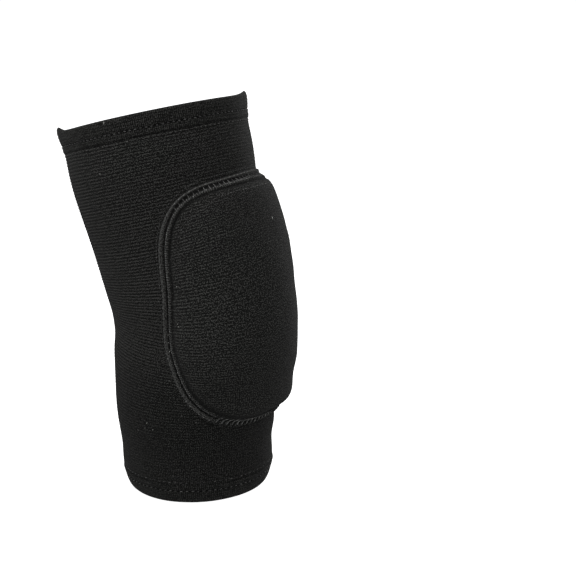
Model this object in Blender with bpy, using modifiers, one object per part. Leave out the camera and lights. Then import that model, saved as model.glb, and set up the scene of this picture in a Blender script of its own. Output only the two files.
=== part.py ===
"""Knitted elbow pad in its worn form: a bent tube of cloth with turned hems and a padded patch over the elbow.

Metres. +Z runs up the arm, the elbow and its pad face -Y and X is across. The origin is on the middle line of the
sleeve at half its length, where an arm holds it. A place on the sleeve is given by its height (share of LENGTH from
the lower rim), its arc (metres round the cloth from the front) and its lift (metres off the outer face).
"""
import math
from collections import namedtuple

import bpy
import numpy as np

# The sleeve. Its middle line leans back by LOW_LEAN below the bend and by HIGH_LEAN above it; where the bend is,
# and how far it spreads, are shares of LENGTH
LENGTH = 0.210
TOP_RADIUS = 0.0526
BOTTOM_RADIUS = 0.0395
CLOTH_WALL = 0.0016
LOW_LEAN = math.radians(3.9)
HIGH_LEAN = math.radians(13.9)
BEND_SHARE = 0.516
BEND_SPAN_SHARE = 0.231
GAP = 0.0003

# The turned hems
HEM_HEIGHT = 0.012
HEM_THICKNESS = 0.003
HEM_PROUD = 0.0005

# The padded patch. Its widest line is at PAD_SHARE of LENGTH, and its rise, drop and reach go to the seam's middle
PAD_SHARE = 0.518
PAD_RISE = 0.0590
PAD_DROP = 0.0632
PAD_REACH = 0.0530
PAD_CROWN = 0.0175
PAD_BASE = 0.0009
COVER_WALL = 0.0015
FOAM_BED = 0.0006

# Squareness of the patch, as powers
TOP_POWER = 4.18
BOTTOM_POWER = 3.14
END_POWER = 10.0
SIDE_POWER = 4.1

# The seam round the patch
SEAM_WIDTH = 0.0058
SEAM_THICKNESS = 0.001

# How finely the curves are cut
LINE_STEPS = 400
SLEEVE_ROWS = 17
SLEEVE_COLUMNS = 58
HEM_STEPS = 58
PAD_SPOKES = 26
SEAM_SPOKES = 40
OUTLINE_STEPS = 4000
NORMAL_STEP = 0.0001
MERGE = 0.00001

# Radius of the outer face up the sleeve, as a share of the straight taper from rim to rim
Section = namedtuple("Section", "height fullness")
SLEEVE_SECTIONS = (
    Section(0.00, 1.000),
    Section(0.05, 1.060),
    Section(0.12, 1.050),
    Section(0.20, 1.060),
    Section(0.29, 1.030),
    Section(0.37, 0.990),
    Section(0.43, 0.945),
    Section(0.48, 0.940),
    Section(0.56, 0.960),
    Section(0.66, 0.970),
    Section(0.77, 0.995),
    Section(0.88, 1.010),
    Section(0.95, 0.990),
    Section(1.00, 1.000),
)

# Thickness of the patch, from its lower point (-1) over its widest line (0) to its upper point (1), by PAD_CROWN
Crown = namedtuple("Crown", "height share")
PAD_CROWNS = (
    Crown(-1.00, 1.15),
    Crown(-0.80, 0.75),
    Crown(-0.55, 0.85),
    Crown(-0.25, 1.00),
    Crown(0.10, 0.90),
    Crown(0.50, 0.745),
    Crown(0.80, 0.58),
    Crown(1.00, 0.60),
)

# Section of a hem, from the sleeve's side (0) to the rim (1), and from its outer face (0) to its inner one (1)
Fold = namedtuple("Fold", "height depth")
HEM_FOLDS = (
    Fold(0.00, 0.25),
    Fold(0.06, 0.04),
    Fold(0.36, 0.00),
    Fold(0.42, 0.10),
    Fold(0.48, 0.00),
    Fold(0.86, 0.02),
    Fold(0.97, 0.20),
    Fold(1.00, 0.50),
    Fold(0.97, 0.80),
    Fold(0.86, 0.98),
    Fold(0.00, 1.00),
)

# Section of the seam, across from its outer (-0.5) to its inner edge (0.5), and its rise by SEAM_THICKNESS
Cord = namedtuple("Cord", "across rise")
SEAM_CORDS = (
    Cord(-0.50, 0.40),
    Cord(-0.42, 1.35),
    Cord(-0.28, 2.00),
    Cord(-0.14, 1.85),
    Cord(-0.03, 1.30),
    Cord(0.08, 1.80),
    Cord(0.20, 1.75),
    Cord(0.32, 1.20),
    Cord(0.50, 0.60),
)

# Rings of the patch, as shares of the way from its middle to the seam
PAD_RINGS = (1.0, 0.975, 0.94, 0.89, 0.81, 0.68, 0.48, 0.24)
BED_RINGS = (1.0, 0.85, 0.68, 0.51, 0.34, 0.17)

Paint = namedtuple("Paint", "colour roughness")
SLEEVE_PAINT = Paint((0.016, 0.016, 0.017), 0.92)
HEM_PAINT = Paint((0.014, 0.014, 0.015), 0.90)
COVER_PAINT = Paint((0.019, 0.019, 0.020), 0.92)
FOAM_PAINT = Paint((0.060, 0.060, 0.065), 0.95)
SEAM_PAINT = Paint((0.026, 0.026, 0.027), 0.80)
COLLECTION = "elbow_pad"


def smooth(rows, places):
    """Value of the second column at each place, on one smooth curve through all the rows."""
    table = np.array(rows)
    across, values = table[:, 0], table[:, 1]
    slopes = np.gradient(values, across)
    places = np.clip(places, across[0], across[-1])
    row = np.clip(np.searchsorted(across, places, side="right") - 1, 0, len(across) - 2)
    width = across[row + 1] - across[row]
    t = (places - across[row]) / width
    start = (1 + 2 * t) * (1 - t) ** 2 * values[row] + t * (1 - t) ** 2 * width * slopes[row]
    end = t * t * (3 - 2 * t) * values[row + 1] + t * t * (t - 1) * width * slopes[row + 1]
    return start + end


def middle_line():
    """Heights along the sleeve, with the lean of its middle line and its Y and Z there."""
    heights = np.linspace(0.0, 1.0, LINE_STEPS + 1)
    t = np.clip((heights - BEND_SHARE) / BEND_SPAN_SHARE + 0.5, 0.0, 1.0)
    lean = LOW_LEAN + (HIGH_LEAN - LOW_LEAN) * t * t * (3 - 2 * t)
    between = (lean[1:] + lean[:-1]) / 2
    step = LENGTH / LINE_STEPS
    y = np.concatenate(([0.0], np.cumsum(np.sin(between) * step)))
    z = np.concatenate(([0.0], np.cumsum(np.cos(between) * step)))
    half = LINE_STEPS // 2
    return heights, lean, y - y[half], z - z[half]


LINE = middle_line()


def line_at(height):
    """Lean, Y and Z of the middle line at a height."""
    heights, lean, y, z = LINE
    return np.interp(height, heights, lean), np.interp(height, heights, y), np.interp(height, heights, z)


def radius_at(height):
    """Radius of the outer face at a height."""
    taper = BOTTOM_RADIUS + (TOP_RADIUS - BOTTOM_RADIUS) * height
    return taper * smooth(SLEEVE_SECTIONS, height)


def on_cloth(height, arc, lift):
    """Points at heights, arcs and lifts, one row each."""
    lean, y, z = line_at(height)
    radius = radius_at(height)
    turn = arc / radius
    side = (radius + lift) * np.sin(turn)
    back = -(radius + lift) * np.cos(turn)
    return np.stack(np.broadcast_arrays(side, y + back * np.cos(lean), z - back * np.sin(lean)), axis=-1)


def pad_lift(arc, rise):
    """Lift that the patch adds at an arc and a rise over its widest line: none at the seam's middle and outside."""
    upper = rise >= 0
    power = np.where(upper, TOP_POWER, BOTTOM_POWER)
    along = np.clip(rise / np.where(upper, PAD_RISE, PAD_DROP), -1.0, 1.0)
    ends = np.abs(along) ** power
    sides = np.abs(arc / PAD_REACH) ** power
    way_out = np.clip((ends + sides) ** (1 / power), 0.0, 1.0)
    share = ends / np.maximum(ends + sides, 1e-12)
    edge = SIDE_POWER + (END_POWER - SIDE_POWER) * share
    return PAD_CROWN * smooth(PAD_CROWNS, along) * (1 - way_out ** edge)


def pad_face(arc, rise):
    """Points on the outer face of the patch."""
    return on_cloth(PAD_SHARE + rise / LENGTH, arc, PAD_BASE + pad_lift(arc, rise))


def under_face(arc, rise, depth):
    """Points a depth under the outer face of the patch, square to it."""
    across = pad_face(arc + NORMAL_STEP, rise) - pad_face(arc - NORMAL_STEP, rise)
    along = pad_face(arc, rise + NORMAL_STEP) - pad_face(arc, rise - NORMAL_STEP)
    outward = np.cross(across, along)
    outward /= np.linalg.norm(outward, axis=-1, keepdims=True)
    return pad_face(arc, rise) - depth * outward


def half_outline(spokes, inset):
    """Arcs and rises evenly round half the patch, from its foot up, an inset inside the seam's middle."""
    turn = np.linspace(math.pi, 0.0, OUTLINE_STEPS + 1)
    along, across = np.cos(turn), np.sin(turn)
    power = np.where(along >= 0, TOP_POWER, BOTTOM_POWER)
    arc = PAD_REACH * np.abs(across) ** (2 / power)
    rise = np.where(along >= 0, PAD_RISE, PAD_DROP) * np.sign(along) * np.abs(along) ** (2 / power)
    run = np.concatenate(([0.0], np.cumsum(np.hypot(np.diff(arc), np.diff(rise)))))
    places = np.linspace(0.0, run[-1], spokes * 4 + 1)
    arc = np.interp(places, run, arc)
    rise = np.interp(places, run, rise)
    to_side, to_top = np.gradient(arc), np.gradient(rise)
    to_side[[0, -1]] = 1.0, -1.0
    to_top[[0, -1]] = 0.0
    size = np.hypot(to_side, to_top)
    arc = arc - inset * to_top / size
    rise = rise + inset * to_side / size
    return arc[::4], rise[::4]


def ring_points(ring, share):
    """Arcs and rises of a ring drawn in towards the middle of the patch."""
    arc, rise = ring
    middle = (PAD_RISE - PAD_DROP) / 2
    return arc * share, middle + (rise - middle) * share


def loft(rings, closed):
    """Faces between rings of equal length; a closed ring also joins its last point to its first."""
    size = len(rings[0])
    last = size if closed else size - 1
    faces = []
    for row in range(len(rings) - 1):
        for column in range(last):
            following = (column + 1) % size
            low, high = row * size, (row + 1) * size
            faces.append((low + column, low + following, high + following, high + column))
    return [tuple(point) for ring in rings for point in ring], faces


def add_object(name, paint, points, edges, faces):
    """Mesh object of its own material in the collection of the part."""
    mesh = bpy.data.meshes.new(name)
    mesh.from_pydata(points, edges, faces)
    mesh.shade_smooth()
    item = bpy.data.objects.new(name, mesh)
    material = bpy.data.materials.new(name)
    material.use_nodes = True
    shader = material.node_tree.nodes["Principled BSDF"]
    shader.inputs["Base Color"].default_value = (*paint.colour, 1.0)
    shader.inputs["Roughness"].default_value = paint.roughness
    shader.inputs["Metallic"].default_value = 0.0
    mesh.materials.append(material)
    bpy.data.collections[COLLECTION].objects.link(item)
    return item


def mirror_half(item):
    """Second half across X."""
    mirror = item.modifiers.new("other_half", "MIRROR")
    mirror.use_axis = (True, False, False)
    mirror.use_clip = True
    mirror.merge_threshold = MERGE


def thicken(item, wall):
    """Gives an open face its wall on the inner side."""
    solid = item.modifiers.new("wall", "SOLIDIFY")
    solid.thickness = wall
    solid.offset = -1.0
    solid.use_rim = True


def build_sleeve():
    """Bent tube of cloth between the hems, with its wall inside."""
    start = (HEM_HEIGHT + GAP) / LENGTH
    turns = np.arange(SLEEVE_COLUMNS) * 2 * math.pi / SLEEVE_COLUMNS
    rings = []
    for height in np.linspace(start, 1.0 - start, SLEEVE_ROWS + 1):
        rings.append(on_cloth(height, turns * radius_at(height), 0.0))
    points, faces = loft(rings, True)
    sleeve = add_object("sleeve", SLEEVE_PAINT, points, [], faces)
    thicken(sleeve, CLOTH_WALL)


def build_hem(name, end, direction):
    """Folded band at one end of the sleeve, turned round the middle line there; direction is 1 up, -1 down."""
    points = []
    for fold in HEM_FOLDS:
        inward = (1 - fold.height) * HEM_HEIGHT
        radius = radius_at(end - direction * inward / LENGTH) + HEM_PROUD - fold.depth * HEM_THICKNESS
        points.append((radius, 0.0, -direction * inward))
    edges = [(place, (place + 1) % len(points)) for place in range(len(points))]
    hem = add_object(name, HEM_PAINT, points, edges, [])
    screw = hem.modifiers.new("round_the_arm", "SCREW")
    screw.axis = "Z"
    screw.angle = 2 * math.pi
    screw.steps = HEM_STEPS
    screw.render_steps = HEM_STEPS
    screw.use_merge_vertices = True
    screw.merge_threshold = MERGE
    screw.use_smooth_shade = True
    screw.use_normal_flip = direction > 0
    lean, y, z = line_at(end)
    hem.location = (0.0, y, z)
    hem.rotation_euler = (-lean, 0.0, 0.0)


def build_cover():
    """Cloth over the patch, from the seam's inner edge inwards."""
    edge = half_outline(PAD_SPOKES, SEAM_WIDTH / 2 + GAP)
    rings = [pad_face(*ring_points(edge, share)) for share in PAD_RINGS]
    points, faces = loft(rings, False)
    faces += cap(points, len(PAD_RINGS) - 1, PAD_SPOKES + 1, pad_face(*ring_points(edge, 0.0))[0])
    cover = add_object("pad_cover", COVER_PAINT, points, [], faces)
    mirror_half(cover)
    thicken(cover, COVER_WALL)


def build_foam():
    """Pad under the cover, on a flat bed over the sleeve."""
    edge = half_outline(PAD_SPOKES, SEAM_WIDTH / 2 + GAP)
    bed = half_outline(PAD_SPOKES, SEAM_WIDTH / 2 + 2 * GAP)
    rings = []
    for share in reversed(BED_RINGS):
        arc, rise = ring_points(bed, share)
        rings.append(on_cloth(PAD_SHARE + rise / LENGTH, arc, FOAM_BED))
    for share in PAD_RINGS:
        rings.append(under_face(*ring_points(edge, share), COVER_WALL + GAP))
    points, faces = loft(rings, False)
    arc, rise = ring_points(bed, 0.0)
    size = PAD_SPOKES + 1
    faces += cap(points, 0, size, on_cloth(PAD_SHARE + rise / LENGTH, arc, FOAM_BED)[0], flip=True)
    faces += cap(points, len(rings) - 1, size, under_face(*ring_points(edge, 0.0), COVER_WALL + GAP)[0])
    foam = add_object("foam_pad", FOAM_PAINT, points, [], faces)
    mirror_half(foam)


def cap(points, ring, size, middle, flip=False):
    """Adds a middle point and gives the faces from a ring to it."""
    points.append(tuple(middle))
    centre = len(points) - 1
    start = ring * size
    faces = []
    for place in range(start, start + size - 1):
        faces.append((centre, place + 1, place) if flip else (centre, place, place + 1))
    return faces


def build_seam():
    """Flat band with two cords round the patch, bedded on the sleeve."""
    sections = []
    for cord in SEAM_CORDS:
        arc, rise = half_outline(SEAM_SPOKES, cord.across * SEAM_WIDTH)
        lift = pad_lift(arc, rise) * (cord.across > 0) + GAP + cord.rise * SEAM_THICKNESS
        sections.append(on_cloth(PAD_SHARE + rise / LENGTH, arc, lift))
    for across in (0.5, -0.5):
        arc, rise = half_outline(SEAM_SPOKES, across * SEAM_WIDTH)
        sections.append(on_cloth(PAD_SHARE + rise / LENGTH, arc, GAP))
    rings = np.stack(sections[::-1], axis=1)
    points, faces = loft(rings, True)
    seam = add_object("pad_seam", SEAM_PAINT, points, [], faces)
    mirror_half(seam)


def clear_scene():
    """Takes out whatever the file opened with."""
    for item in list(bpy.data.objects):
        bpy.data.objects.remove(item, do_unlink=True)


clear_scene()
part = bpy.data.collections.new(COLLECTION)
bpy.context.scene.collection.children.link(part)
build_sleeve()
build_hem("top_hem", 1.0, 1)
build_hem("bottom_hem", 0.0, -1)
build_cover()
build_foam()
build_seam()
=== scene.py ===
"""Knitted elbow pad as photographed: black ribbed cloth, turned hems with two rows of stitches, and a padded patch
inside a double-corded seam.

Metres throughout. A place on the sleeve is given by its height (share of LENGTH from the lower rim), its arc (metres
round the cloth from the front, towards +X) and its lift (metres off the outer face). Fine relief is cut into the
meshes; the materials add what is finer still.
"""
import math

import bmesh
import bpy
import numpy as np
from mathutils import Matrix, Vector


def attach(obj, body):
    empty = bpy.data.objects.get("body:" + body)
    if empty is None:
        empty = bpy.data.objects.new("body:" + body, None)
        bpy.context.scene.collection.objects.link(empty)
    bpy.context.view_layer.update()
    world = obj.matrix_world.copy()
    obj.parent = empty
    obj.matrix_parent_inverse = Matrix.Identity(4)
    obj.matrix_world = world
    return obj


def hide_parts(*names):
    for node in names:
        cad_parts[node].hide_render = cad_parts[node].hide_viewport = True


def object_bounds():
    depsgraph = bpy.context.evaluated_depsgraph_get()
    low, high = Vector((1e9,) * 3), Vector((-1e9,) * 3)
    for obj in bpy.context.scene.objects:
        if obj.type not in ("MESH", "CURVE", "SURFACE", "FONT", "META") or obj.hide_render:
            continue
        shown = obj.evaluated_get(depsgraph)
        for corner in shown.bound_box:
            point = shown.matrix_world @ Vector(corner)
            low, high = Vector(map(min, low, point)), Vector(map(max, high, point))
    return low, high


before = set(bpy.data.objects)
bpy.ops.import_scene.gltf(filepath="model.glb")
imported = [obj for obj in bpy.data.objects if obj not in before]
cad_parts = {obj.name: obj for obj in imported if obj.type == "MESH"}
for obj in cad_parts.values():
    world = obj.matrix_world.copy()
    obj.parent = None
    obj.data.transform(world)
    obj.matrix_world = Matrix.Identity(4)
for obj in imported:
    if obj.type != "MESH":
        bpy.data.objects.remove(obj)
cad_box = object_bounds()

# The frame's shape, as the CAD has it
LENGTH = 0.210
TOP_RADIUS = 0.0526
BOTTOM_RADIUS = 0.0395
CLOTH_WALL = 0.0016
LOW_LEAN = math.radians(3.9)
HIGH_LEAN = math.radians(13.9)
BEND_SHARE = 0.516
BEND_SPAN_SHARE = 0.231
LINE_STEPS = 400
HEM_HEIGHT = 0.012
HEM_THICKNESS = 0.003
HEM_PROUD = 0.0005
PAD_SHARE = 0.518
PAD_RISE = 0.0590
PAD_DROP = 0.0632
PAD_REACH = 0.0530
PAD_CROWN = 0.0175
PAD_BASE = 0.0009
COVER_WALL = 0.0015
FOAM_BED = 0.0006
GAP = 0.0003
TOP_POWER = 4.18
BOTTOM_POWER = 3.14
END_POWER = 10.0
SIDE_POWER = 4.1
SEAM_WIDTH = 0.0058
OUTLINE_STEPS = 4000
NORMAL_STEP = 0.0001
SLEEVE_SECTIONS = (
    (0.00, 1.000), (0.05, 1.060), (0.12, 1.050), (0.20, 1.060), (0.29, 1.030), (0.37, 0.990), (0.43, 0.945),
    (0.48, 0.940), (0.56, 0.960), (0.66, 0.970), (0.77, 0.995), (0.88, 1.010), (0.95, 0.990), (1.00, 1.000),
)
PAD_CROWNS = (
    (-1.00, 1.15), (-0.80, 0.75), (-0.55, 0.85), (-0.25, 1.00), (0.10, 0.90), (0.50, 0.745), (0.80, 0.58),
    (1.00, 0.60),
)

# How far apart the knit's courses lie, and how far they stand out
RIB_PITCH = 0.00170
HEM_RIB_PITCH = 0.0016
PAD_RIB_PITCH = 0.00147
RIB_LIFT = 0.00018
HEM_RIB_LIFT = 0.00007
PAD_RIB_LIFT = 0.00013
# How far apart the thread's stitches lie in the hems and the outer cord, and in the inner cord
STITCH_PITCH = 0.0029
BEAD_PITCH = 0.00122
# How high the yarn stands on a face that doesn't show
PLAIN_CREST = 0.45
WELD_DISTANCE = 0.000002


# ---- places on the cloth

def smooth(rows, places):
    """Value of the second column at each place, on one smooth curve through all the rows."""
    table = np.array(rows)
    across, values = table[:, 0], table[:, 1]
    slopes = np.gradient(values, across)
    places = np.clip(places, across[0], across[-1])
    row = np.clip(np.searchsorted(across, places, side="right") - 1, 0, len(across) - 2)
    width = across[row + 1] - across[row]
    t = (places - across[row]) / width
    start = (1 + 2 * t) * (1 - t) ** 2 * values[row] + t * (1 - t) ** 2 * width * slopes[row]
    end = t * t * (3 - 2 * t) * values[row + 1] + t * t * (t - 1) * width * slopes[row + 1]
    return start + end


def middle_line():
    """Heights along the sleeve, with the lean of its middle line and its Y and Z there."""
    heights = np.linspace(0.0, 1.0, LINE_STEPS + 1)
    t = np.clip((heights - BEND_SHARE) / BEND_SPAN_SHARE + 0.5, 0.0, 1.0)
    lean = LOW_LEAN + (HIGH_LEAN - LOW_LEAN) * t * t * (3 - 2 * t)
    between = (lean[1:] + lean[:-1]) / 2
    step = LENGTH / LINE_STEPS
    y = np.concatenate(([0.0], np.cumsum(np.sin(between) * step)))
    z = np.concatenate(([0.0], np.cumsum(np.cos(between) * step)))
    half = LINE_STEPS // 2
    return heights, lean, y - y[half], z - z[half]


LINE = middle_line()


def line_at(height):
    """Lean, Y and Z of the middle line at a height."""
    heights, lean, y, z = LINE
    return np.interp(height, heights, lean), np.interp(height, heights, y), np.interp(height, heights, z)


def radius_at(height):
    """Radius of the outer face at a height."""
    taper = BOTTOM_RADIUS + (TOP_RADIUS - BOTTOM_RADIUS) * height
    return taper * smooth(SLEEVE_SECTIONS, height)


def on_cloth(height, arc, lift):
    """Points at heights, arcs and lifts, one row each."""
    lean, y, z = line_at(height)
    radius = radius_at(height)
    turn = arc / radius
    side = (radius + lift) * np.sin(turn)
    back = -(radius + lift) * np.cos(turn)
    return np.stack(np.broadcast_arrays(side, y + back * np.cos(lean), z - back * np.sin(lean)), axis=-1)


def toward_end(rise):
    """Share of the way from the patch's widest line to its top (1) or foot (-1), and the outline's power there."""
    upper = rise >= 0
    along = np.clip(rise / np.where(upper, PAD_RISE, PAD_DROP), -1.0, 1.0)
    return along, np.where(upper, TOP_POWER, BOTTOM_POWER)


def pad_lift(arc, rise):
    """Lift that the patch adds at an arc and a rise over its widest line: none at the seam's middle and outside."""
    along, power = toward_end(rise)
    ends = np.abs(along) ** power
    sides = np.abs(arc / PAD_REACH) ** power
    way_out = np.clip((ends + sides) ** (1 / power), 0.0, 1.0)
    share = ends / np.maximum(ends + sides, 1e-12)
    edge = SIDE_POWER + (END_POWER - SIDE_POWER) * share
    return PAD_CROWN * smooth(PAD_CROWNS, along) * (1 - way_out ** edge)


def on_patch(arc, rise, lift):
    """Points at arcs and rises over the patch's widest line, by their lift off the sleeve."""
    return on_cloth(PAD_SHARE + rise / LENGTH, arc, lift)


def pad_face(arc, rise, lift=0.0):
    """Points on the outer face of the patch."""
    return on_patch(arc, rise, PAD_BASE + pad_lift(arc, rise) + lift)


def outward_at(face, across, along):
    """Unit directions square to a face given by two coordinates."""
    side = face(across + NORMAL_STEP, along) - face(across - NORMAL_STEP, along)
    up = face(across, along + NORMAL_STEP) - face(across, along - NORMAL_STEP)
    outward = np.cross(side, up)
    return outward / np.linalg.norm(outward, axis=-1, keepdims=True)


def pad_edge(rise):
    """Arc of the seam's middle line at a rise."""
    along, power = toward_end(rise)
    return PAD_REACH * np.maximum(1 - np.abs(along) ** power, 0.0) ** (1 / power)


def outline():
    """The seam's middle line once round the patch from its foot, up the +X side: run, arc and rise."""
    turn = np.linspace(math.pi, -math.pi, 2 * OUTLINE_STEPS + 1)
    along, across = np.cos(turn), np.sin(turn)
    power = np.where(along >= 0, TOP_POWER, BOTTOM_POWER)
    arc = PAD_REACH * np.sign(across) * np.abs(across) ** (2 / power)
    rise = np.where(along >= 0, PAD_RISE, PAD_DROP) * np.sign(along) * np.abs(along) ** (2 / power)
    run = np.concatenate(([0.0], np.cumsum(np.hypot(np.diff(arc), np.diff(rise)))))
    return run, arc, rise


OUTLINE = outline()
SEAM_LENGTH = OUTLINE[0][-1]
SEAM_STITCHES = int(round(SEAM_LENGTH / STITCH_PITCH))
SEAM_BEADS = int(round(SEAM_LENGTH / BEAD_PITCH))
STRAND_PITCH = SEAM_LENGTH / SEAM_STITCHES


def seam_place(run, inset):
    """Arc and rise at a run along the seam, an inset inside its middle line."""
    runs, arcs, rises = OUTLINE
    run = np.mod(run, SEAM_LENGTH)
    ahead, behind = np.mod(run + 0.0006, SEAM_LENGTH), np.mod(run - 0.0006, SEAM_LENGTH)
    arc, rise = np.interp(run, runs, arcs), np.interp(run, runs, rises)
    to_side = np.interp(ahead, runs, arcs) - np.interp(behind, runs, arcs)
    to_top = np.interp(ahead, runs, rises) - np.interp(behind, runs, rises)
    size = np.hypot(to_side, to_top)
    return arc - inset * to_top / size, rise + inset * to_side / size


# ---- unevenness

def lattice(across, along, seed, around=0):
    """Smooth noise from -1 to 1 with one value per whole step; repeats after `around` steps across if given."""
    values = np.random.default_rng(seed).uniform(-1.0, 1.0, (257, 257))
    columns = around if around else 257
    left, low = np.floor(across).astype(int), np.floor(along).astype(int)
    u, v = across - left, along - low
    u, v = u * u * (3 - 2 * u), v * v * (3 - 2 * v)
    left, right = left % columns % 257, (left + 1) % columns % 257
    low, high = low % 257, (low + 1) % 257
    bottom = values[low, left] * (1 - u) + values[low, right] * u
    top = values[high, left] * (1 - u) + values[high, right] * u
    return bottom * (1 - v) + top * v


def ribs(arc, along, pitch, seed, girth=None):
    """Relief of a ribbed knit from -1 to 1: courses round the cloth, broken into short slanted runs of loops."""
    def around(step):
        return int(round(girth / step)) if girth else 0

    def over(step):
        return arc / girth * around(step) if girth else arc / step

    drift = 0.26 * lattice(over(0.023), along / 0.015, seed, around(0.023))
    drift = drift + 0.06 * lattice(over(0.0068), along / 0.0042, seed + 1, around(0.0068))
    course = along / pitch + drift
    number = np.floor(course)
    dash = over(0.0064) + 0.6 * lattice(over(0.013), number * 0.9, seed + 4, around(0.013))
    slant = 0.03 * np.sin(math.tau * dash + 2.4 * number)
    breaks = lattice(over(0.0110), number + 0.5, seed + 2, around(0.0110))
    loops = lattice(over(0.0021), course * 1.1, seed + 3, around(0.0021))
    strength = np.clip(0.78 + 0.34 * breaks + 0.16 * loops, 0.05, 1.1)
    return np.clip(strength * np.cos(math.tau * (course + slant)) + 0.10 * loops, -1.0, 1.0)


# ---- meshes

def grid_faces(rows, columns, closed):
    """Quads of a grid of points, row by row; a closed grid joins its last column to its first."""
    row, column = np.meshgrid(np.arange(rows - 1), np.arange(columns if closed else columns - 1), indexing="ij")
    following = (column + 1) % columns
    quads = np.stack([row * columns + column, row * columns + following,
                      (row + 1) * columns + following, (row + 1) * columns + column], axis=-1)
    return quads.reshape(-1, 4), row, column


def add_mesh(name, points, faces):
    """Smooth mesh object of the part."""
    mesh = bpy.data.meshes.new(name)
    mesh.from_pydata(points.reshape(-1, 3).tolist(), [], faces)
    mesh.shade_smooth()
    item = bpy.data.objects.new(name, mesh)
    pad_collection.objects.link(item)
    return item


def add_grid(name, points, cloth, crest):
    """Mesh object from a grid of points, whose last column joins its first. cloth holds each point's place on the
    flat cloth, with one more column than the points; it becomes the texture coordinates, in millimetres. crest sets
    each point's painted shade and highlight, from 0, darkest, as in a hollow, to 1, lightest, as on the yarn's crown."""
    rows, columns = points.shape[:2]
    quads, row, column = grid_faces(rows, columns, True)
    item = add_mesh(name, points, quads.tolist())
    layer = item.data.uv_layers.new(name="cloth")
    corners = np.stack([cloth[row, column], cloth[row, column + 1],
                        cloth[row + 1, column + 1], cloth[row + 1, column]], axis=2)
    layer.data.foreach_set("uv", (corners * 1000.0).astype(np.float32).ravel())
    heights = item.data.attributes.new("crest", "FLOAT", "POINT")
    heights.data.foreach_set("value", np.broadcast_to(crest, (rows, columns)).astype(np.float32).ravel())
    return item


def flat_places(arc, along, girth):
    """Places on the flat cloth for a closed grid: its first column comes again at the end, a girth on."""
    places = np.stack(np.broadcast_arrays(arc, along), axis=-1)
    last = places[:, :1].copy()
    last[..., 0] += girth
    return np.concatenate([places, last], axis=1)


def weld(item):
    """Joins points of a piece that fall on one another."""
    item.modifiers.new("weld", "WELD").merge_threshold = WELD_DISTANCE
    graph = bpy.context.evaluated_depsgraph_get()
    made = bpy.data.meshes.new_from_object(item.evaluated_get(graph), depsgraph=graph)
    item.modifiers.clear()
    item.data = made
    return item


def close_ends(item, rows, columns):
    """Closes the two end rings of a ring-wise grid."""
    work = bmesh.new()
    work.from_mesh(item.data)
    work.verts.ensure_lookup_table()
    work.faces.new([work.verts[column] for column in reversed(range(columns))])
    work.faces.new([work.verts[(rows - 1) * columns + column] for column in range(columns)])
    work.to_mesh(item.data)
    work.free()
    item.data.shade_smooth()
    return item


def threads(name, lines, thickness, sides=6):
    """Many short threads as one mesh: each line is a run of points, and its ends close to a rounded tip.
    lines is an array of threads x points x 3, thickness one value or one for each thread."""
    lines = np.asarray(lines)
    count, size = lines.shape[:2]
    thickness = np.broadcast_to(thickness, (count,))
    ahead = np.gradient(lines, axis=1)
    ahead /= np.linalg.norm(ahead, axis=-1, keepdims=True)
    up = np.broadcast_to(np.array([0.137, 0.391, 0.91]), ahead.shape)
    side = np.cross(ahead, up)
    side /= np.linalg.norm(side, axis=-1, keepdims=True)
    other = np.cross(side, ahead)
    place = np.linspace(-1.0, 1.0, size)
    full = np.sqrt(np.clip(1 - np.abs(place) ** 4, 0.0, 1.0)) * 0.92 + 0.08
    turn = np.arange(sides) * math.tau / sides
    around = (np.cos(turn)[:, None] * side[:, :, None] + np.sin(turn)[:, None] * other[:, :, None])
    points = lines[:, :, None] + around * (thickness[:, None, None, None] / 2) * full[None, :, None, None]
    ring = np.arange(sides)
    following = (ring + 1) % sides
    quads = np.concatenate([
        np.stack([low + ring, low + sides + ring, low + sides + following, low + following], axis=-1)
        for low in range(0, (size - 1) * sides, sides)])
    every = (np.arange(count)[:, None, None] * size * sides + quads[None]).reshape(-1, 4).tolist()
    start = (np.arange(count)[:, None] * size * sides + ring[None]).tolist()
    finish = (np.arange(count)[:, None] * size * sides + (size - 1) * sides + ring[::-1][None]).tolist()
    return add_mesh(name, points, every + start + finish)


# ---- pieces

SLEEVE_ROWS = 462
SLEEVE_COLUMNS = 204
INNER_ROWS = 18
# How far the sleeve runs in under a hem, and how deep it sinks there
TUCK = 0.0022
TUCK_DEPTH = 0.0011
# Slack of the cloth: its depth, its length, and its number round the sleeve
SLACK_DEPTH = 0.00022
SLACK_LENGTH = 0.017
SLACKS_ROUND = 14
# One fuller place low on the +X side: lift, turn and half its width, height and half its width
FULLER = (0.0010, 0.62, 0.42, 0.165, 0.03)
# How strongly the ribs stand out, by height; they are fainter at the front too
RIB_SHARES = ((0.00, 0.40), (0.14, 0.42), (0.26, 0.75), (0.36, 1.0), (0.80, 1.0), (1.00, 0.8))
# Painted shade by height: this much comes off the crest that sets the knit's colour, so the lower sleeve is darker,
# and round the bend, where it is negative, lighter
SHADED = (
    (0.00, 0.07), (0.20, 0.10), (0.30, 0.07), (0.40, -0.05), (0.52, -0.07), (0.66, -0.03), (0.80, 0.0),
    (1.00, 0.0),
)
# How far the knit's courses are pulled off level by the bend, by height
COURSE_DIP = (
    (0.00, 0.0), (0.12, 0.0), (0.30, -0.0040), (0.42, -0.0065), (0.55, -0.0020), (0.65, 0.0), (1.00, 0.0),
)


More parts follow.
